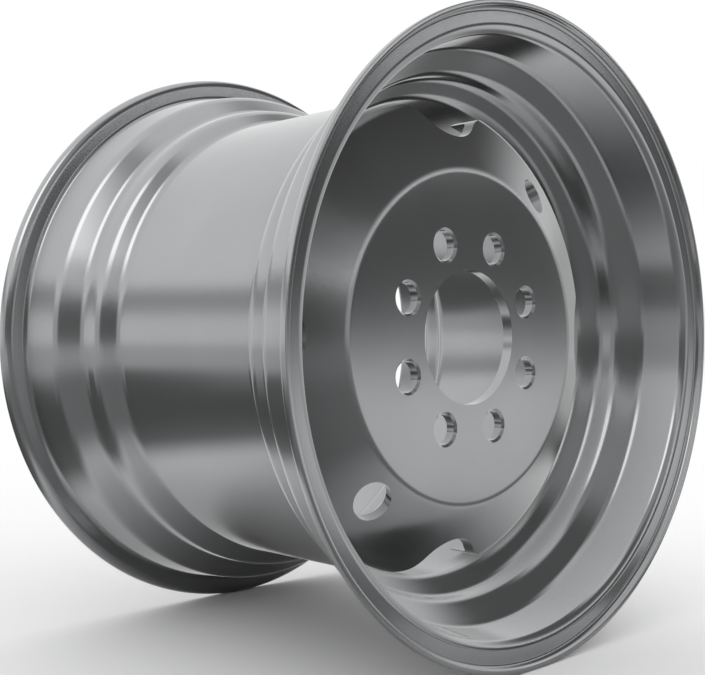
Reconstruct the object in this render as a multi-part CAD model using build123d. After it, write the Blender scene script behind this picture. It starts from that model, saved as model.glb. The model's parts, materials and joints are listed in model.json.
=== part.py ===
from build123d import *
import math
import os

# Steel wheel of a tractor: a rolled rim with a pressed disc welded into its well.
# Millimetres. The axle lies along Y, the outer side faces -Y, +Z is up, and the origin is the rim's centre.

# Rim, rolled from one strip and alike on both sides of its centre plane
bead_seat_diameter = 609.6  # at the heel, where the seat meets the flange
rim_width = 457.2  # between the tyre sides of the two flanges
rim_sheet = 5.0
flange_height = 25.4
lip_reach = 13.6  # from a flange's tyre side to the end of its lip
seat_width = 52.3
seat_taper = 5.0  # degrees that the bead seat falls towards the well
seat_drop = 22.6  # from the end of the bead seat down to the ledge
ledge_width = 24.2
ledge_drop = 18.2  # from the ledge down to the well
step_slope = 45.0  # degrees that the two steps slope to the axle
step_bend = 8.0  # inside radius of the steps
heel_bend = 6.0  # radius of the heel
lip_bend = 5.0  # inside radius of the lip
valve_hole_diameter = 16.0
valve_setback = 40.0  # from the disc's edge back to the valve hole

# Disc, pressed from one plate and pushed into the well from the outer side
disc_sheet = 12.0
disc_fit = 0.2  # radial gap between the disc and the well
hub_offset = 142.5  # from the rim's centre plane out to the hub face
crown_diameter = 354.0  # where the flat face and the sloping flank would meet
flank_angle = 26.5  # degrees back from the flat face
disc_bend = 8.0  # inside radius of the disc's bends
disc_depth = 70.0  # from the front face back to the end of the disc's lip

# Holes in the disc
hub_bore_diameter = 142.0
stud_count = 8
stud_circle_diameter = 205.0
stud_hole_diameter = 31.8
stud_chamfer = 2.5
hand_hole_diameter = 42.0
hand_hole_circle_diameter = 414.0
hand_hole_angle = 51.0  # degrees from +X towards +Z; the second hole is opposite

# Scallops in the disc's edge
scallop_count = 4
scallop_depth = 40.4
scallop_radius = 52.5
shoulder_radius = 43.0

# Weld runs behind the disc, one between each two scallops
weld_leg = 8.0
weld_crown = 1.0  # bow of the bead's face towards its root, which leaves the face hollow
weld_setback = 10.0  # from a scallop's shoulder to the end of a run

# Radii and places that the pieces share
seat_radius = bead_seat_diameter / 2
seat_end_radius = seat_radius - seat_width * math.tan(math.radians(seat_taper))
ledge_radius = seat_end_radius - seat_drop
well_radius = ledge_radius - ledge_drop
well_wall = well_radius - rim_sheet
disc_radius = well_wall - disc_fit
front_face = -hub_offset - disc_sheet
disc_edge = front_face + disc_depth
outer_side = Plane(origin=(0, front_face, 0), x_dir=(1, 0, 0), z_dir=(0, -1, 0))

# Triangle of the axle, a scallop's centre and its shoulder's centre
scallop_height = well_wall - scallop_depth + scallop_radius
shoulder_height = well_wall - shoulder_radius
arc_spacing = scallop_radius + shoulder_radius
shoulder_cosine = scallop_height**2 + shoulder_height**2 - arc_spacing**2
shoulder_cosine /= 2 * scallop_height * shoulder_height
shoulder_angle = math.degrees(math.acos(shoulder_cosine))


def bent_sheet(points, radii, thickness):
    """Ring of bent sheet: a line of (radius, y) points with rounded corners, thickened to its left."""
    line = FilletPolyline(*points, radius=radii)
    section = make_face(offset(line, thickness, side=Side.LEFT))
    return revolve(section, Axis.Y)


def make_rim():
    """The hoop, drawn along its tyre side from the outer lip to the inner one."""
    slope = math.tan(math.radians(step_slope))
    flange_y = rim_width / 2
    flange_radius = seat_radius + flange_height
    seat_end = flange_y - seat_width
    ledge_start = seat_end - seat_drop / slope
    ledge_end = ledge_start - ledge_width
    well_start = ledge_end - ledge_drop / slope
    half = [
        (well_radius, well_start),
        (ledge_radius, ledge_end),
        (ledge_radius, ledge_start),
        (seat_end_radius, seat_end),
        (seat_radius, flange_y),
        (flange_radius, flange_y),
        (flange_radius, flange_y + lip_reach),
    ]
    tight = step_bend
    wide = step_bend + rim_sheet
    half_radii = [tight, wide, tight, wide, heel_bend, lip_bend + rim_sheet]
    other_half = [(radius, -y) for radius, y in reversed(half)]
    hoop = bent_sheet(other_half + half, half_radii[::-1] + half_radii, rim_sheet)
    valve_height = disc_edge + valve_setback
    drill = Cylinder(valve_hole_diameter / 2, well_radius, align=(Align.CENTER, Align.CENTER, Align.MIN))
    return hoop - Pos(0, valve_height, 0) * Rot(0, 90 - hand_hole_angle, 0) * Pos(0, 0, well_wall / 2) * drill


def scallop():
    """Waste cut from the disc's edge at +Z: a hollow arc that runs out through two shoulders."""
    hollow = Vector(0, scallop_height)
    shoulder = Vector(0, shoulder_height).rotate(Axis.Z, -shoulder_angle)
    turn = hollow - shoulder
    edge_angle = 90 - shoulder_angle
    join_angle = math.degrees(math.atan2(turn.Y, turn.X))
    right = CenterArc(shoulder, shoulder_radius, edge_angle, join_angle - edge_angle)
    floor = CenterArc(hollow, scallop_radius, join_angle + 180, 2 * (90 - join_angle))
    left = mirror(right, Plane.YZ)
    end = right @ 0
    outside = Polyline(end, (end.X, scallop_height), (-end.X, scallop_height), (-end.X, end.Y))
    return make_face(Curve() + [right, floor, left, outside])


def make_disc():
    """The pressing: flat face, sloping flank and a lip that lies along the well."""
    crown_radius = crown_diameter / 2
    flank_slope = math.tan(math.radians(flank_angle))
    flank_fall = (disc_radius - crown_radius) * flank_slope
    line = [
        (hub_bore_diameter / 2, front_face),
        (crown_radius, front_face),
        (disc_radius, front_face + flank_fall),
        (disc_radius, disc_edge),
    ]
    plate = bent_sheet(line, disc_bend + disc_sheet, disc_sheet)
    stud_hole = CounterSinkHole(
        stud_hole_diameter / 2,
        stud_hole_diameter / 2 + stud_chamfer,
        disc_depth,
        90,
    )
    studs = PolarLocations(stud_circle_diameter / 2, stud_count, start_angle=180 / stud_count)
    plate -= outer_side * studs * stud_hole
    hand_radius = hand_hole_circle_diameter / 2
    hand_fall = (hand_radius - crown_radius) * flank_slope
    punch = Cylinder(hand_hole_diameter / 2, 4 * disc_sheet)
    punch = Pos(hand_radius, 0, -hand_fall) * Rot(0, flank_angle, 0) * punch
    plate -= outer_side * PolarLocations(0, 2, start_angle=hand_hole_angle) * punch
    waste = extrude(scallop(), 2 * disc_depth, both=True)
    plate -= outer_side * PolarLocations(0, scallop_count) * waste
    return plate


def make_welds():
    """Fillet runs in the corner between the disc's lip and the well."""
    root = (well_wall, disc_edge)
    toe = (well_wall, disc_edge + weld_leg)
    heel = (well_wall - weld_leg, disc_edge)
    bead = make_face(Curve() + [Line(heel, root), Line(root, toe), SagittaArc(toe, heel, weld_crown)])
    half_pitch = 180 / scallop_count
    half_run = half_pitch - shoulder_angle - math.degrees(weld_setback / well_wall)
    run = Rot(0, -half_run, 0) * revolve(bead, Axis.Y, 2 * half_run)
    return [Rot(0, half_pitch * (2 * i + 1), 0) * run for i in range(scallop_count)]


os.makedirs("parts", exist_ok=True)
export_step(make_rim(), "parts/rim.step")
export_step(make_disc(), "parts/disc.step")
export_step(Compound(children=make_welds()), "parts/disc_weld.step")
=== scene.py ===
"""Bare steel tractor wheel: its pieces, their finish, and the studio and camera around it."""

import json
import math

import bpy
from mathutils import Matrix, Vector


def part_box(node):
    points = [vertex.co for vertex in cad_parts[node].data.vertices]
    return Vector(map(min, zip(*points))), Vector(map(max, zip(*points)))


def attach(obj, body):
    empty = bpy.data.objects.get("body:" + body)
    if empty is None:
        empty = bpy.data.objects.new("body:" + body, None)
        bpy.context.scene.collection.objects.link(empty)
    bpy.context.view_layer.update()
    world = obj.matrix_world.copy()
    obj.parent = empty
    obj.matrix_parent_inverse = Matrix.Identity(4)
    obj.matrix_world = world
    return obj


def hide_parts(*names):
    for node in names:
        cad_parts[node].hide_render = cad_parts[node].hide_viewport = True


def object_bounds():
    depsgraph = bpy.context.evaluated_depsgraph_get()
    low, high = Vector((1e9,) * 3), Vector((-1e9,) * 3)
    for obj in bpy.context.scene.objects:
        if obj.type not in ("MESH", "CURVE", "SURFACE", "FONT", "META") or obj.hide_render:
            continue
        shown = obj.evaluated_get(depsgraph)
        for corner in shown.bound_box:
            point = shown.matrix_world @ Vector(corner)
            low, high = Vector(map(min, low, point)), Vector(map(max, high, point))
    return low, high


bl_info = {
    "name": "Tractor Wheel",
    "version": (1, 0, 0),
    "blender": (4, 5, 0),
    "location": "View3D > Sidebar > Wheel",
    "description": "Rolls, presses and welds a satin steel tractor wheel and sets a studio round it",
    "category": "Object",
}

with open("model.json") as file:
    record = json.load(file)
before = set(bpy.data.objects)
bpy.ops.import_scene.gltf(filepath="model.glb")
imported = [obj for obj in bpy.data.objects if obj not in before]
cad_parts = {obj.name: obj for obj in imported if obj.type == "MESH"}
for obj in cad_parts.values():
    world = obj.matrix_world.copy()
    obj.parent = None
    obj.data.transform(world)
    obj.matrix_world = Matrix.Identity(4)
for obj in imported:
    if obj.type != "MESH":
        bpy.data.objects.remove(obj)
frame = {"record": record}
CAD_BOX = [list(corner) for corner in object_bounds()]
LOW, HIGH = Vector(CAD_BOX[0]), Vector(CAD_BOX[1])
DISC_LOW, DISC_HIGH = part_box("disc")
MOUNTS = {mount["name"]: mount for mount in frame["record"]["mounts"]}
MILLIMETRE = 0.001
WHEEL_RADIUS = HIGH.x
OUTER_LIP = LOW.y
STUDS = MOUNTS["stud_holes"]["dims"]["count"]
HAND_HOLES = 2
SCALLOPS = 4

# Fineness of the meshes
ROUND_STEPS = 256  # faces round the wheel
HOLE_STEPS = 96  # faces round a hole
EDGE_STEPS = 3  # faces across a rounded edge
BEND_STEP = math.radians(6)  # turn of a bend from one ring of vertices to the next
RINGS_PER_RIPPLE = 4  # rings of vertices to each ripple of the weld
MERGE_DISTANCE = MILLIMETRE / 100  # vertices that lie nearer than this are one
SHARP_TURN = math.radians(60)  # edges of the rim that turn more are rounded
SMOOTH_TURN = math.radians(25)  # edges that turn less are shaded smooth
FACING = 0.5  # a face whose normal has more than this share of a direction looks that way
DRILL_LENGTH = 4  # in thicknesses of the wall that is drilled
BEAD_BORDER = 0.1  # share of a weld's leg that stays without furrows along the bead's edges

# Patterns of the steel, with repeats to a metre
RINGS = {"Scale": 420.0, "Detail": 3.0}
CLOUDS = {"Scale": 9.0, "Detail": 5.0}
GRAIN = {"Scale": 900.0, "Detail": 2.0}
CLOUD_EDGES = (0.3, 0.7)

# How much the patterns and the painted corner shade darken the steel, and how much the patterns roughen it
RING_SHADE = 0.02
CLOUD_SHADE = 0.05
PAINTED_CORNER_SHADE = 0.9
RING_ROUGHNESS = 0.02
CLOUD_ROUGHNESS = 0.04
GRAIN_ROUGHNESS = 0.02
DARKEST = 0.1  # share of the steel's colour that full shade leaves

# Painted shade darkens the steel where surfaces close in: how near they count, and the open shares with full
# and no painted shade
PAINTED_SHADE_REACH = 0.2
PAINTED_SHADE_EDGES = (0.15, 0.9)
PAINTED_SHADE_SAMPLES = 2

# Picture and stage
PICTURE_ASPECT = 705 / 675  # width over height
SENSOR_WIDTH = 36  # of the camera, in millimetres
FLOOR_SIZE = 60

# Screens that stand round the wheel for the steel to mirror: azimuths of their edges, from the front
# towards +X, and elevations, in degrees, the blur of the edges, and the grey. Each stands in front of
# those listed before it.
SCREENS = {
    "wall_round": ((-400, 400), (-4, 12), 4, 0.60),
    "pale_wall_back": ((-190, -115), (-3, 7), 3, 0.9),
    "dull_screen_back": ((-190, -120), (9, 14.5), 3, 0.45),
    "dull_screen_ahead": ((-62, 0), (20, 74), 6, 0.48),
    "grey_screen_ahead": ((-84, -4), (-4, 15), 6, 0.18),
    "dark_screen_right": ((-6, 110), (27, 64), 9, 0.17),
    "dark_strip_right": ((23, 60), (0, 14), 3, 0.12),
    "soft_box_left": ((-94, -64), (28, 64), 5, 2.3),
}
SCREEN_DISTANCE = 8.0
SCREEN_SPACING = 0.2
SCREEN_FACE = 5  # degrees that one face of a screen covers

# Fields of the floor mat: the azimuths of their edges and the blur, in degrees
MAT_RIGHT = (27, 62, 6)
MAT_FRONT = (-62, 26, 8)
MAT_BACK = (-190, -110, 10)
MAT_FAR_BACK = (-190, -138, 4)

# Distances from the wheel's centre between which the mat's tones change
RIGHT_RISE = (0.75, 1.1)
FAR_RISE = (1.2, 2.2)
BACK_START = 0.65
BACK_END = 1.15
FAR_BACK_EXTRA = 0.95  # how much farther the back field reaches in the far back one
BACK_BLUR = 0.2

# Greys of the mat: the plain one, and what each field adds, takes or leaves of it
MAT_GREY = 0.26
RIGHT_PALER = 0.6
FAR_PALER = 0.34
BACK_DARKER = 0.13
FRONT_LOSS = 0.75  # share of the far tone that the front field loses
HIDDEN_LOSS = 0.87  # share of every tone that is lost where the wheel hides the mat

# Edges of the mat along the picture, and how far ahead of the camera the wheel begins to hide the floor
SIDE_FADE = 0.15
NEAR_FADE = 0.3
HIDDEN_RISE = (1.9, 2.2)
HIDDEN_DARK_RISE = (1.95, 2.3)


def mount_size(mount, size):
    """A size of one of the frame's mounts, in metres."""
    return MOUNTS[mount]["dims"][size] * MILLIMETRE


def length(name, description, default):
    """A length that the user may change."""
    return bpy.props.FloatProperty(
        name=name, description=description, default=default, unit="LENGTH", precision=4)


def angle(name, description, degrees):
    """An angle that the user may change."""
    return bpy.props.FloatProperty(
        name=name, description=description, default=math.radians(degrees), subtype="ANGLE")


def number(name, description, default, subtype="NONE"):
    """A plain number that the user may change."""
    return bpy.props.FloatProperty(name=name, description=description, default=default, subtype=subtype)


def colour(name, description, default):
    """A colour that the user may change."""
    return bpy.props.FloatVectorProperty(
        name=name, description=description, default=default, subtype="COLOR")


class Value:
    """A socket of a node tree. Arithmetic on it adds Math nodes."""

    def __init__(self, tree, socket=None):
        self.tree = tree
        self.socket = socket

    def node(self, kind, settings=None, inputs=None, output=0):
        """Adds a node, makes its settings and then fills its sockets, and gives one of its outputs."""
        made = self.tree.nodes.new(kind)
        for name, setting in (settings or {}).items():
            setattr(made, name, setting)
        for name, value in (inputs or {}).items():
            if isinstance(value, Value):
                self.tree.links.new(value.socket, made.inputs[name])
            else:
                made.inputs[name].default_value = value
        return Value(self.tree, made.outputs[output] if made.outputs else None)

    def math(self, operation, *values):
        """A Math node on numbers."""
        return self.node("ShaderNodeMath", {"operation": operation}, dict(enumerate(values)))

    def vector_math(self, operation, *values, output="Vector"):
        """A Vector Math node, which gives a vector or a value."""
        return self.node("ShaderNodeVectorMath", {"operation": operation}, dict(enumerate(values)), output)

    def __add__(self, other):
        return self.math("ADD", self, other)

    def __sub__(self, other):
        return self.math("SUBTRACT", self, other)

    def __rsub__(self, other):
        return self.math("SUBTRACT", other, self)

    def __mul__(self, other):
        return self.math("MULTIPLY", self, other)

    __radd__ = __add__
    __rmul__ = __mul__

    def blend(self, first, second):
        """The first colour where this value is 0, the second where it is 1."""
        factor, a, b, result = 0, 6, 7, 2
        inputs = {factor: self, a: first, b: second}
        return self.node("ShaderNodeMix", {"data_type": "RGBA"}, inputs, result)

    def rise(self, start, end):
        """0 before start, 1 after end, and a smooth step between them."""
        settings = {"interpolation_type": "SMOOTHSTEP"}
        return self.node("ShaderNodeMapRange", settings, {"Value": self, "From Min": start, "From Max": end})

    def band(self, low, high, blur):
        """1 between low and high, with edges that fade over twice the blur."""
        return self.rise(low - blur, low + blur) * (1 - self.rise(high - blur, high + blur))


class RimSettings(bpy.types.PropertyGroup):
    """Sizes of the rolled rim, alike on both sides of its centre plane."""

    sheet: length("Sheet", "Thickness of the rolled strip", 0.005)
    seat_radius: length(
        "Seat Radius", "Radius of the bead seat at its heel", mount_size("outer_bead_seat", "r_mm"))
    seat_width: length(
        "Seat Width", "Width of the bead seat", mount_size("outer_bead_seat", "length_mm"))
    seat_taper: angle("Seat Taper", "Fall of the bead seat towards the well", 5)
    lip_reach: length("Lip Reach", "From a flange's tyre side to the end of its lip", 0.0136)
    seat_drop: length("Seat Drop", "From the end of the bead seat down to the ledge", 0.0226)
    ledge_width: length("Ledge Width", "Width of the ledge between the steps", 0.0242)
    ledge_drop: length("Ledge Drop", "From the ledge down to the well", 0.0182)
    step_slope: angle("Step Slope", "Slope of the two steps to the axle", 45)
    step_bend: length("Step Bend", "Inside radius of the steps", 0.016)
    heel_bend: length("Heel Bend", "Radius of the heel", 0.006)
    lip_bend: length("Lip Bend", "Inside radius of the lip", 0.005)
    edge_round: length("Edge Round", "Radius of the rolled-off edges at the lips' ends", 0.0008)

    def radii(self):
        """Tyre-side radii of the seat's end, the ledge and the well."""
        seat_end = self.seat_radius - self.seat_width * math.tan(self.seat_taper)
        ledge = seat_end - self.seat_drop
        return seat_end, ledge, ledge - self.ledge_drop

    def well_wall(self):
        """Radius of the well's inner side, where the disc lies."""
        return self.radii()[2] - self.sheet

    def half_section(self):
        """Tyre-side (radius, y) points from the well to the inner lip, with bends at all but the last."""
        seat_end_radius, ledge_radius, well_radius = self.radii()
        lip_end = HIGH.y
        flange_y = lip_end - self.lip_reach
        seat_end = flange_y - self.seat_width
        ledge_start = seat_end - self.seat_drop / math.tan(self.step_slope)
        ledge_end = ledge_start - self.ledge_width
        well_start = ledge_end - self.ledge_drop / math.tan(self.step_slope)
        points = [
            (well_radius, well_start),
            (ledge_radius, ledge_end),
            (ledge_radius, ledge_start),
            (seat_end_radius, seat_end),
            (self.seat_radius, flange_y),
            (WHEEL_RADIUS, flange_y),
            (WHEEL_RADIUS, lip_end),
        ]
        tight = self.step_bend
        wide = self.step_bend + self.sheet
        return points, [tight, wide, tight, wide, self.heel_bend, self.lip_bend + self.sheet]


class DiscSettings(bpy.types.PropertyGroup):
    """Sizes of the pressed disc."""

    sheet: length("Plate", "Thickness of the pressed plate", 0.012)
    fit: length("Fit", "Radial gap between the disc and the well", 0.0002)
    bore: length("Hub Bore", "Radius of the hub bore", mount_size("hub_bore", "r_mm"))
    crown: length("Crown", "Radius where the flat face and the flank would meet", 0.177)
    flank: angle("Flank", "Slope of the flank back from the flat face", 26.5)
    bend: length("Bend", "Inside radius of the bends", 0.008)
    stud_circle: length("Stud Circle", "Diameter of the stud circle", mount_size("stud_holes", "pcd_mm"))
    stud_hole: length("Stud Hole", "Radius of a stud hole", mount_size("stud_holes", "hole_r_mm"))
    stud_chamfer: length("Stud Chamfer", "Width of a stud hole's chamfer", 0.0025)
    hand_hole: length("Hand Hole", "Radius of a hand hole", 0.021)
    hand_place: length("Hand Hole Place", "Distance of a hand hole from the axle", 0.207)
    hand_turn: angle("Hand Hole Turn", "Turn of the upper hand hole from +X towards +Z", 51)
    scallop_depth: length("Scallop Depth", "From the well in to a scallop's floor", 0.0404)
    scallop_radius: length("Scallop Radius", "Radius of a scallop's floor", 0.0525)
    shoulder_radius: length("Shoulder Radius", "Radius of a scallop's shoulders", 0.043)

    def scallop_arcs(self, well_wall):
        """Distances of a scallop's and a shoulder's centre from the axle, and the angle between them."""
        height = well_wall - self.scallop_depth + self.scallop_radius
        shoulder_height = well_wall - self.shoulder_radius
        spacing = self.scallop_radius + self.shoulder_radius
        cosine = (height**2 + shoulder_height**2 - spacing**2) / (2 * height * shoulder_height)
        return height, shoulder_height, math.acos(cosine)


class WeldSettings(bpy.types.PropertyGroup):
    """Sizes of the weld runs behind the disc."""

    leg: length("Leg", "Width of a run on the disc and on the well", 0.008)
    hollow: length("Hollow", "Depth of a bead's hollow face below a flat one", 0.001)
    setback: length("Setback", "From a scallop's shoulder to the end of a run", 0.01)
    ripple: length("Ripple", "From one ripple of a bead to the next", 0.004)
    ripple_depth: length("Ripple Depth", "Depth of the furrows between ripples", 0.0005)


class SteelSettings(bpy.types.PropertyGroup):
    """Finish of the wheel's steel."""

    steel_colour: colour("Steel", "Colour of the bare steel", (0.44, 0.448, 0.456))
    weld_colour: colour("Weld", "Colour of the weld metal", (0.36, 0.36, 0.37))
    roughness: number("Roughness", "Roughness of the satin finish", 0.16, "FACTOR")
    weld_roughness: number("Weld Roughness", "Roughness of the weld metal", 0.3, "FACTOR")


class StudioSettings(bpy.types.PropertyGroup):
    """Where the camera stands and how it looks at the wheel."""

    camera_side: number("Camera Side", "Camera's distance left of the axle, in wheel radii", 2.75)
    camera_front: number("Camera Front", "Camera's distance before the outer lip, in wheel radii", 2.046)
    camera_turn: angle("Camera Turn", "Turn of the view from straight at the disc", 43.961)
    camera_lens: number("Lens", "Focal length in millimetres", 57.29)

    def camera_place(self):
        """Where the camera stands, level with the axle."""
        front = OUTER_LIP - self.camera_front * WHEEL_RADIUS
        return Vector((-self.camera_side * WHEEL_RADIUS, front, 0))

    def camera_axes(self):
        """The camera's view direction and its right-hand direction."""
        ahead = Vector((math.sin(self.camera_turn), math.cos(self.camera_turn), 0))
        return ahead, Vector((ahead.y, -ahead.x, 0))

    def half_view(self):
        """Half of the picture's width at a distance of 1."""
        return SENSOR_WIDTH / 2 / self.camera_lens


def new_material(name):
    """An empty material and a wrapper for its tree."""
    material = bpy.data.materials.new(name)
    material.use_nodes = True
    material.node_tree.nodes.clear()
    return material, Value(material.node_tree)


def rolled_steel(name, steel, roughness):
    """Satin steel with faint rings from the forming rolls, cloudy patches, and painted shade darkening its
    corners.
    """
    material, tree = new_material(name)
    place = tree.node("ShaderNodeTexCoord", output="Object")
    across = place.vector_math("MULTIPLY", place, (1, 0, 1))
    radius = across.vector_math("LENGTH", across, output="Value")
    along = tree.node("ShaderNodeSeparateXYZ", inputs={0: place}, output="Y")
    rings_at = tree.node("ShaderNodeCombineXYZ", inputs={"X": radius, "Y": along})
    rings = tree.node("ShaderNodeTexNoise", inputs={"Vector": rings_at, **RINGS})
    clouds = tree.node("ShaderNodeTexNoise", inputs={"Vector": place, **CLOUDS})
    grain = tree.node("ShaderNodeTexNoise", inputs={"Vector": place, **GRAIN})
    # Painted shade: ambient occlusion darkens the colour in corners and gaps, where surfaces close in
    settings = {"samples": PAINTED_SHADE_SAMPLES}
    open_face = tree.node("ShaderNodeAmbientOcclusion", settings, {"Distance": PAINTED_SHADE_REACH}, "AO")
    painted_corner_shade = 1 - open_face.rise(*PAINTED_SHADE_EDGES)
    shade = clouds.rise(*CLOUD_EDGES) * CLOUD_SHADE + rings * RING_SHADE + painted_corner_shade * PAINTED_CORNER_SHADE
    tint = shade.blend((*steel, 1), (*(DARKEST * part for part in steel), 1))
    satin = clouds * CLOUD_ROUGHNESS + rings * RING_ROUGHNESS + grain * GRAIN_ROUGHNESS
    satin += roughness - (CLOUD_ROUGHNESS + RING_ROUGHNESS + GRAIN_ROUGHNESS) / 2
    finish = {"Base Color": tint, "Metallic": 1.0, "Roughness": satin}
    surface = tree.node("ShaderNodeBsdfPrincipled", inputs=finish)
    tree.node("ShaderNodeOutputMaterial", inputs={"Surface": surface})
    return material


def assign(piece, material):
    """Makes a material the piece's only one."""
    piece.data.materials.clear()
    piece.data.materials.append(material)


def pick(piece):
    """Makes a piece the only selected one and the active one."""
    bpy.ops.object.select_all(action="DESELECT")
    piece.select_set(True)
    bpy.context.view_layer.objects.active = piece


def join(pieces):
    """Makes several pieces one, which keeps the first one's name."""
    pick(pieces[0])
    for piece in pieces:
        piece.select_set(True)
    if len(pieces) > 1:
        bpy.ops.object.join()
    return bpy.context.object


def select_faces(piece, wanted):
    """Goes into edit mode with only those faces selected that pass a test."""
    bpy.ops.object.mode_set(mode="EDIT")
    bpy.ops.mesh.select_mode(type="FACE")
    bpy.ops.mesh.select_all(action="DESELECT")
    bpy.ops.object.mode_set(mode="OBJECT")
    for face in piece.data.polygons:
        face.select = wanted(face)
    bpy.ops.object.mode_set(mode="EDIT")


def leave_faces():
    """Goes back to object mode, and to vertices for the next piece."""
    bpy.ops.mesh.select_mode(type="VERT")
    bpy.ops.object.mode_set(mode="OBJECT")


def start_line(name, point):
    """A new piece of one vertex at a point of the XY plane, in edit mode and selected."""
    bpy.ops.object.select_all(action="DESELECT")
    bpy.ops.mesh.primitive_plane_add(size=MILLIMETRE, enter_editmode=True)
    bpy.ops.mesh.merge(type="CENTER")
    bpy.ops.transform.translate(value=(*point, 0))
    piece = bpy.context.object
    piece.name = name
    return piece


def run_to(here, there):
    """Extrudes the selected end of a line straight on."""
    step = Vector(there) - Vector(here)
    bpy.ops.mesh.extrude_region_move(TRANSFORM_OT_translate={"value": (*step, 0)})


def bend_round(centre, turn):
    """Extrudes the selected end of a line round a centre in the XY plane, by a turn from +X towards +Y."""
    steps = max(2, round(abs(turn) / BEND_STEP))
    bpy.ops.mesh.spin(steps=steps, angle=turn, center=(*centre, 0), axis=(0, 0, -1))


def draw_section(name, points, bends):
    """A line through (radius, y) points, with a bend at each inner point."""
    points = [Vector(point) for point in points]
    piece = start_line(name, points[0])
    here = points[0]
    for before, corner, after, bend in zip(points, points[1:], points[2:], bends):
        inward = (corner - before).normalized()
        onward = (after - corner).normalized()
        turn = -inward.angle_signed(onward)
        cut_off = bend * math.tan(abs(turn) / 2)
        start = corner - inward * cut_off
        run_to(here, start)
        centre = start + Vector((-inward.y, inward.x)) * math.copysign(bend, turn)
        bend_round(centre, turn)
        here = corner + onward * cut_off
    run_to(here, points[-1])
    return piece


def spin_sheet(piece, thickness):
    """Turns a line round the axle and gives the skin a thickness on its inner side."""
    bpy.ops.mesh.select_all(action="SELECT")
    bpy.ops.mesh.spin(steps=ROUND_STEPS, angle=2 * math.pi, center=(0, 0, 0), axis=(0, 1, 0))
    bpy.ops.mesh.select_all(action="SELECT")
    bpy.ops.mesh.remove_doubles(threshold=MERGE_DISTANCE)
    bpy.ops.mesh.normals_make_consistent(inside=False)
    bpy.ops.object.mode_set(mode="OBJECT")
    wall = piece.modifiers.new("wall", "SOLIDIFY")
    wall.thickness = thickness
    wall.offset = -1
    wall.use_even_offset = True
    bpy.ops.object.modifier_apply(modifier=wall.name)


def cut(piece, tools):
    """Cuts the tools out of a piece and clears them away."""
    tool = join(tools)
    pick(piece)
    cutting = piece.modifiers.new("cut", "BOOLEAN")
    cutting.operation = "DIFFERENCE"
    cutting.solver = "EXACT"
    cutting.object = tool
    bpy.ops.object.modifier_apply(modifier=cutting.name)
    bpy.data.objects.remove(tool)


def drill(radius, depth, place, direction):
    """A round cutter about a place, along a direction."""
    bpy.ops.object.select_all(action="DESELECT")
    turn = Vector(direction).to_track_quat("Z", "Y").to_euler()
    bpy.ops.mesh.primitive_cylinder_add(
        vertices=HOLE_STEPS, radius=radius, depth=depth, location=place, rotation=turn)
    bpy.ops.object.transform_apply()
    return bpy.context.object


def copies_round(piece, count):
    """The piece and its copies, spaced evenly round the axle."""
    pieces = [piece]
    for i in range(1, count):
        pick(piece)
        bpy.ops.object.duplicate()
        bpy.context.object.rotation_euler.y = 2 * math.pi * i / count
        bpy.ops.object.transform_apply()
        pieces.append(bpy.context.object)
    return pieces


def finish_piece(piece, node, slot, steel, roughness):
    """Smooths a piece, gives it its steel and puts it in the place of its CAD node."""
    pick(piece)
    bpy.ops.object.shade_smooth_by_angle(angle=SMOOTH_TURN)
    assign(piece, rolled_steel(slot, steel, roughness))
    piece.visible_glossy = False  # the pieces don't mirror each other
    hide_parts(node)
    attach(piece, "root")


class WHEEL_OT_rim(bpy.types.Operator):
    """Roll the rim, drill its valve hole and finish it in satin steel"""

    bl_idname = "wheel.rim"
    bl_label = "Roll Rim"

    def execute(self, context):
        rim, steel = context.scene.wheel_rim, context.scene.wheel_steel
        points, bends = rim.half_section()
        other_half = [(radius, -y) for radius, y in reversed(points)]
        piece = draw_section("rolled_rim", other_half + points, bends[::-1] + bends)
        spin_sheet(piece, rim.sheet)
        edges = piece.modifiers.new("edges", "BEVEL")
        edges.width = rim.edge_round
        edges.segments = EDGE_STEPS
        edges.limit_method = "ANGLE"
        edges.angle_limit = SHARP_TURN
        bpy.ops.object.modifier_apply(modifier=edges.name)
        valve = MOUNTS["valve_hole"]
        radius = mount_size("valve_hole", "r_mm")
        cut(piece, [drill(radius, DRILL_LENGTH * rim.sheet, valve["pos_m"], valve["axis"])])
        finish_piece(piece, "rim", "rim_steel", steel.steel_colour, steel.roughness)
        return {"FINISHED"}


def stud_drill(disc):
    """Cutter for the first stud hole, with its chamfer at the disc's front."""
    turn = math.pi / STUDS
    radius = disc.stud_circle / 2
    x, z = radius * math.cos(turn), radius * math.sin(turn)
    front = DISC_LOW.y
    depth = DRILL_LENGTH * disc.sheet
    tool = drill(disc.stud_hole, depth, (x, front + disc.stud_chamfer + depth / 2, z), (0, 1, 0))
    select_faces(tool, lambda face: -face.normal.y > FACING)
    forward = {"value": (0, -disc.stud_chamfer, 0)}
    widen = 1 + disc.stud_chamfer / disc.stud_hole
    bpy.ops.mesh.extrude_region_move(TRANSFORM_OT_translate=forward)
    bpy.ops.transform.resize(value=(widen, 1, widen), center_override=(x, front, z))
    bpy.ops.mesh.extrude_region_move(TRANSFORM_OT_translate=forward)
    leave_faces()
    return tool


def hand_drill(disc):
    """Cutter for the upper hand hole, square to the flank."""
    across = Vector((math.cos(disc.hand_turn), 0, math.sin(disc.hand_turn)))
    place = across * disc.hand_place
    place.y = DISC_LOW.y + (disc.hand_place - disc.crown) * math.tan(disc.flank)
    through = across * math.sin(disc.flank)
    through.y = -math.cos(disc.flank)
    return drill(disc.hand_hole, DRILL_LENGTH * disc.sheet, place, through)


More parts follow.
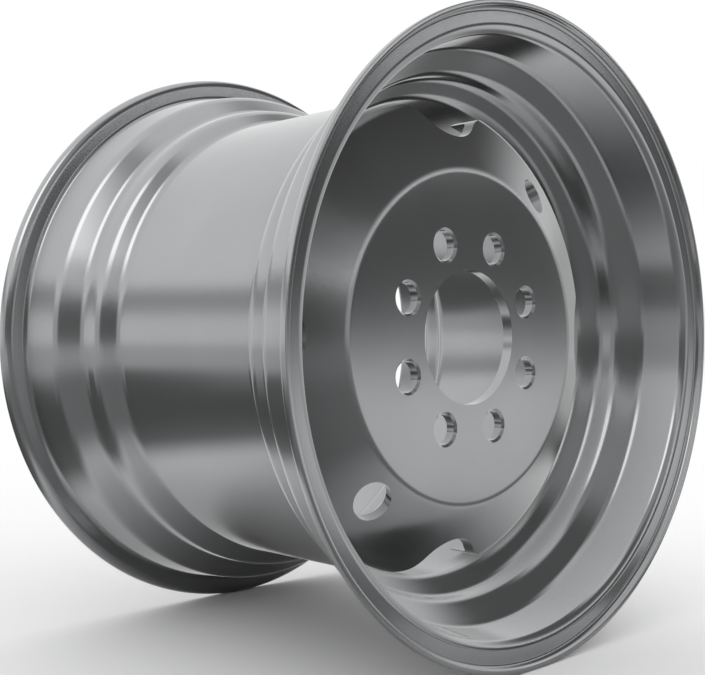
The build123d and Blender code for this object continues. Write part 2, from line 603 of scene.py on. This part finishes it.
def scallop_cutter(disc, well_wall):
    """Cutter for the scallop at +Z: a hollow floor that runs out through two shoulders."""
    height, shoulder_height, turn = disc.scallop_arcs(well_wall)
    edge = math.pi / 2 - turn
    outward = Vector((math.cos(edge), math.sin(edge)))
    shoulder = outward * shoulder_height
    end = outward * well_wall
    hollow = Vector((0, height))
    join_angle = math.atan2(*(hollow - shoulder).yx)
    tool = start_line("scallop_cutter", end)
    bend_round(shoulder, join_angle - edge)
    bend_round(hollow, math.pi - 2 * join_angle)
    bend_round((-shoulder.x, shoulder.y), join_angle - edge)
    run_to((-end.x, end.y), (-end.x, height))
    run_to((-end.x, height), (end.x, height))
    bpy.ops.mesh.select_all(action="SELECT")
    bpy.ops.mesh.edge_face_add()
    bpy.ops.mesh.extrude_region_move(TRANSFORM_OT_translate={"value": (0, 0, 2 * HIGH.y)})
    bpy.ops.mesh.select_all(action="SELECT")
    bpy.ops.mesh.normals_make_consistent(inside=False)
    bpy.ops.object.mode_set(mode="OBJECT")
    tool.rotation_euler.x = math.pi / 2
    tool.location.y = HIGH.y
    bpy.ops.object.transform_apply()
    return tool


class WHEEL_OT_disc(bpy.types.Operator):
    """Press the disc, cut its holes and scallops and finish it in satin steel"""

    bl_idname = "wheel.disc"
    bl_label = "Press Disc"

    def execute(self, context):
        disc, steel = context.scene.wheel_disc, context.scene.wheel_steel
        well_wall = context.scene.wheel_rim.well_wall()
        radius = well_wall - disc.fit
        front = DISC_LOW.y
        points = [
            (disc.bore, front),
            (disc.crown, front),
            (radius, front + (radius - disc.crown) * math.tan(disc.flank)),
            (radius, DISC_HIGH.y),
        ]
        piece = draw_section("pressed_disc", points, [disc.bend + disc.sheet] * 2)
        spin_sheet(piece, disc.sheet)
        tools = copies_round(stud_drill(disc), STUDS)
        tools += copies_round(hand_drill(disc), HAND_HOLES)
        tools += copies_round(scallop_cutter(disc, well_wall), SCALLOPS)
        cut(piece, tools)
        finish_piece(piece, "disc", "disc_steel", steel.steel_colour, steel.roughness)
        return {"FINISHED"}


def furrow(piece, weld, root, ring_turn):
    """Presses the furrows between the ripples into a bead's face."""
    bpy.ops.mesh.select_all(action="DESELECT")
    bpy.ops.object.mode_set(mode="OBJECT")
    border = BEAD_BORDER * weld.leg
    for vertex in piece.data.vertices:
        x, y, z = vertex.co
        ring = round(abs(math.atan2(z, x)) / ring_turn)
        on_face = math.hypot(x, z) < root.x - border and y > root.y + border
        vertex.select = on_face and ring % RINGS_PER_RIPPLE == RINGS_PER_RIPPLE // 2
    bpy.ops.object.mode_set(mode="EDIT")
    bpy.ops.transform.shrink_fatten(value=-weld.ripple_depth)
    bpy.ops.object.mode_set(mode="OBJECT")


def weld_run(weld, root, half_run):
    """One bead from the +X direction round the axle, with a slightly hollow face over its root."""
    heel, toe = root - Vector((weld.leg, 0)), root + Vector((0, weld.leg))
    middle = (heel + toe) / 2
    half_chord = (toe - heel).length / 2
    radius = (half_chord**2 + weld.hollow**2) / (2 * weld.hollow)
    centre = middle + (middle - root).normalized() * (radius - weld.hollow)
    piece = start_line("weld_beads", heel)
    bend_round(centre, 2 * math.asin(half_chord / radius))
    run_to(toe, root)
    run_to(root, heel)
    bpy.ops.mesh.select_all(action="SELECT")
    bpy.ops.mesh.remove_doubles(threshold=MERGE_DISTANCE)
    bpy.ops.mesh.edge_face_add()
    rings = RINGS_PER_RIPPLE * round(2 * half_run * root.x / weld.ripple)
    bpy.ops.mesh.spin(steps=rings, angle=2 * half_run, center=(0, 0, 0), axis=(0, -1, 0))
    bpy.ops.mesh.select_all(action="SELECT")
    bpy.ops.mesh.normals_make_consistent(inside=False)
    furrow(piece, weld, root, 2 * half_run / rings)
    return piece


class WHEEL_OT_weld(bpy.types.Operator):
    """Lay the rippled weld runs behind the disc, one between each two scallops"""

    bl_idname = "wheel.weld"
    bl_label = "Lay Weld"

    def execute(self, context):
        scene = context.scene
        weld, steel = scene.wheel_weld, scene.wheel_steel
        well_wall = scene.wheel_rim.well_wall()
        half_pitch = math.pi / SCALLOPS
        shoulder_turn = scene.wheel_disc.scallop_arcs(well_wall)[2]
        half_run = half_pitch - shoulder_turn - weld.setback / well_wall
        run = weld_run(weld, Vector((well_wall, DISC_HIGH.y)), half_run)
        run.rotation_euler.y = half_pitch - half_run
        bpy.ops.object.transform_apply()
        piece = join(copies_round(run, SCALLOPS))
        finish_piece(piece, "disc_weld", "weld_metal", steel.weld_colour, steel.weld_roughness)
        return {"FINISHED"}


def bearings(place):
    """Azimuth and elevation of a place as seen from the wheel's centre, in degrees."""
    far = place.vector_math("NORMALIZE", place)
    x, y, z = (far.node("ShaderNodeSeparateXYZ", inputs={0: far}, output=axis) for axis in "XYZ")
    return x.math("ARCTAN2", x, 0 - y) * math.degrees(1), z.math("ARCSINE", z) * math.degrees(1)


def glowing(tree, mask, grey):
    """Gives a material an even glow where the mask is 1, and nothing where it is 0."""
    glow = tree.node("ShaderNodeEmission", inputs={"Color": grey, "Strength": 1.0})
    clear = tree.node("ShaderNodeBsdfTransparent")
    surface = tree.node("ShaderNodeMixShader", inputs={0: mask, 1: clear, 2: glow})
    tree.node("ShaderNodeOutputMaterial", inputs={"Surface": surface})


def only_for_steel(screen):
    """Hides a screen from the camera and keeps its shade off the floor."""
    screen.visible_camera = False
    screen.visible_diffuse = False
    screen.visible_shadow = False


def add_plane(name, size, height):
    """A level square under the wheel, with its height in its mesh."""
    bpy.ops.object.select_all(action="DESELECT")
    bpy.ops.mesh.primitive_plane_add(size=size, location=(0, 0, height))
    plane = bpy.context.object
    plane.name = name
    bpy.ops.object.transform_apply(location=True)
    return plane


def within(degrees, edges, margin):
    """Whether an angle lies between two edges, or outside them by less than a margin."""
    return edges[0] - margin < degrees < edges[1] + margin


def set_screen(name, distance, azimuths, elevations, blur, grey):
    """A curved screen with soft edges, which only the steel sees."""
    bpy.ops.object.select_all(action="DESELECT")
    bpy.ops.mesh.primitive_uv_sphere_add(
        segments=360 // SCREEN_FACE, ring_count=180 // SCREEN_FACE, radius=distance)
    screen = bpy.context.object
    screen.name = name
    margin = blur + SCREEN_FACE

    def is_waste(face):
        x, y, z = face.center.normalized()
        turn, rise = math.degrees(math.atan2(x, -y)), math.degrees(math.asin(z))
        return not (within(turn, azimuths, margin) and within(rise, elevations, margin))

    select_faces(screen, is_waste)
    bpy.ops.mesh.delete(type="FACE")
    leave_faces()
    material, tree = new_material(name)
    azimuth, elevation = bearings(tree.node("ShaderNodeTexCoord", output="Object"))
    field = azimuth.band(*azimuths, blur) * elevation.band(*elevations, blur)
    glowing(tree, field, (grey, grey, grey, 1))
    assign(screen, material)
    only_for_steel(screen)


def mat_grey(place):
    """Grey of the floor mat: paler on the right and far off, and darker at the back."""
    reach = place.vector_math("LENGTH", place, output="Value")
    azimuth, _ = bearings(place)
    right = azimuth.band(*MAT_RIGHT) * reach.rise(*RIGHT_RISE)
    back_end = BACK_END + FAR_BACK_EXTRA * azimuth.band(*MAT_FAR_BACK)
    back = azimuth.band(*MAT_BACK) * reach.band(BACK_START, back_end, BACK_BLUR)
    front = azimuth.band(*MAT_FRONT)
    far = reach.rise(*FAR_RISE) * (1 - right) * (1 - front * FRONT_LOSS) * (1 - back)
    return MAT_GREY - BACK_DARKER * back + FAR_PALER * far + RIGHT_PALER * right


def set_mat(studio):
    """A grey mat for the steel to mirror, which lies outside the picture and hidden behind the wheel."""
    mat = add_plane("floor_mat", 2 * SCREEN_DISTANCE, LOW.z + MILLIMETRE)
    material, tree = new_material("mat_grey")
    place = tree.node("ShaderNodeTexCoord", output="Object")
    from_camera = place.vector_math("SUBTRACT", place, studio.camera_place())
    ahead, across = studio.camera_axes()
    depth = from_camera.vector_math("DOT_PRODUCT", from_camera, ahead, output="Value")
    side = from_camera.vector_math("DOT_PRODUCT", from_camera, across, output="Value")
    half_view = studio.half_view()
    nearest = -LOW.z / half_view * PICTURE_ASPECT
    in_line = 1 - (side.math("ABSOLUTE", side) - depth * half_view).rise(0, SIDE_FADE)
    in_view = in_line * depth.rise(nearest - NEAR_FADE, nearest) * (1 - depth.rise(*HIDDEN_RISE))
    hidden = in_line * depth.rise(*HIDDEN_DARK_RISE)
    glowing(tree, 1 - in_view, mat_grey(place) * (1 - HIDDEN_LOSS * hidden))
    assign(mat, material)
    only_for_steel(mat)


def set_floor():
    """A matt white floor, on which the wheel's soft shadow falls."""
    floor = add_plane("floor", FLOOR_SIZE, LOW.z)
    material, tree = new_material("floor_white")
    surface = tree.node("ShaderNodeBsdfDiffuse", inputs={"Color": (1, 1, 1, 1)})
    tree.node("ShaderNodeOutputMaterial", inputs={"Surface": surface})
    assign(floor, material)


def white_world(world):
    """White all round, at a strength that lights a colour as it is written."""
    world.use_nodes = True
    world.node_tree.nodes.clear()
    tree = Value(world.node_tree)
    white = tree.node("ShaderNodeBackground", inputs={"Color": (1, 1, 1, 1), "Strength": 1.0})
    tree.node("ShaderNodeOutputWorld", inputs={"Surface": white})


def set_camera(scene, studio):
    """The camera, level and turned towards the wheel."""
    upright = (math.pi / 2, 0, -studio.camera_turn)
    bpy.ops.object.camera_add(location=studio.camera_place(), rotation=upright)
    camera = bpy.context.object
    camera.name = "camera"
    camera.data.sensor_width = SENSOR_WIDTH
    camera.data.lens = studio.camera_lens
    scene.camera = camera


class WHEEL_OT_stage(bpy.types.Operator):
    """Set the floor, the studio and the camera"""

    bl_idname = "wheel.stage"
    bl_label = "Set Stage"

    def execute(self, context):
        scene = context.scene
        set_floor()
        set_mat(scene.wheel_studio)
        for order, (name, screen) in enumerate(SCREENS.items()):
            set_screen(name, SCREEN_DISTANCE - order * SCREEN_SPACING, *screen)
        if scene.world is None:
            scene.world = bpy.data.worlds.new("studio")
        white_world(scene.world)
        set_camera(scene, scene.wheel_studio)
        scene.view_settings.view_transform = "Standard"
        return {"FINISHED"}


class WHEEL_PT_panel(bpy.types.Panel):
    """Lists the wheel's sizes, its pieces and its stage"""

    bl_label = "Tractor Wheel"
    bl_idname = "WHEEL_PT_panel"
    bl_space_type = "VIEW_3D"
    bl_region_type = "UI"
    bl_category = "Wheel"

    def draw(self, context):
        for name, kind in SETTINGS.items():
            settings = getattr(context.scene, name)
            for setting in kind.__annotations__:
                self.layout.prop(settings, setting)
        for step in STEPS:
            self.layout.operator(step.bl_idname)


SETTINGS = {
    "wheel_rim": RimSettings,
    "wheel_disc": DiscSettings,
    "wheel_weld": WeldSettings,
    "wheel_steel": SteelSettings,
    "wheel_studio": StudioSettings,
}
STEPS = (WHEEL_OT_rim, WHEEL_OT_disc, WHEEL_OT_weld, WHEEL_OT_stage)
CLASSES = (*SETTINGS.values(), *STEPS, WHEEL_PT_panel)


def register():
    for item in CLASSES:
        bpy.utils.register_class(item)
    for name, kind in SETTINGS.items():
        setattr(bpy.types.Scene, name, bpy.props.PointerProperty(type=kind))


def unregister():
    for name in SETTINGS:
        delattr(bpy.types.Scene, name)
    for item in reversed(CLASSES):
        bpy.utils.unregister_class(item)


def main():
    register()
    bpy.ops.wheel.rim()
    bpy.ops.wheel.disc()
    bpy.ops.wheel.weld()
    bpy.ops.wheel.stage()


if __name__ == "__main__":
    main()
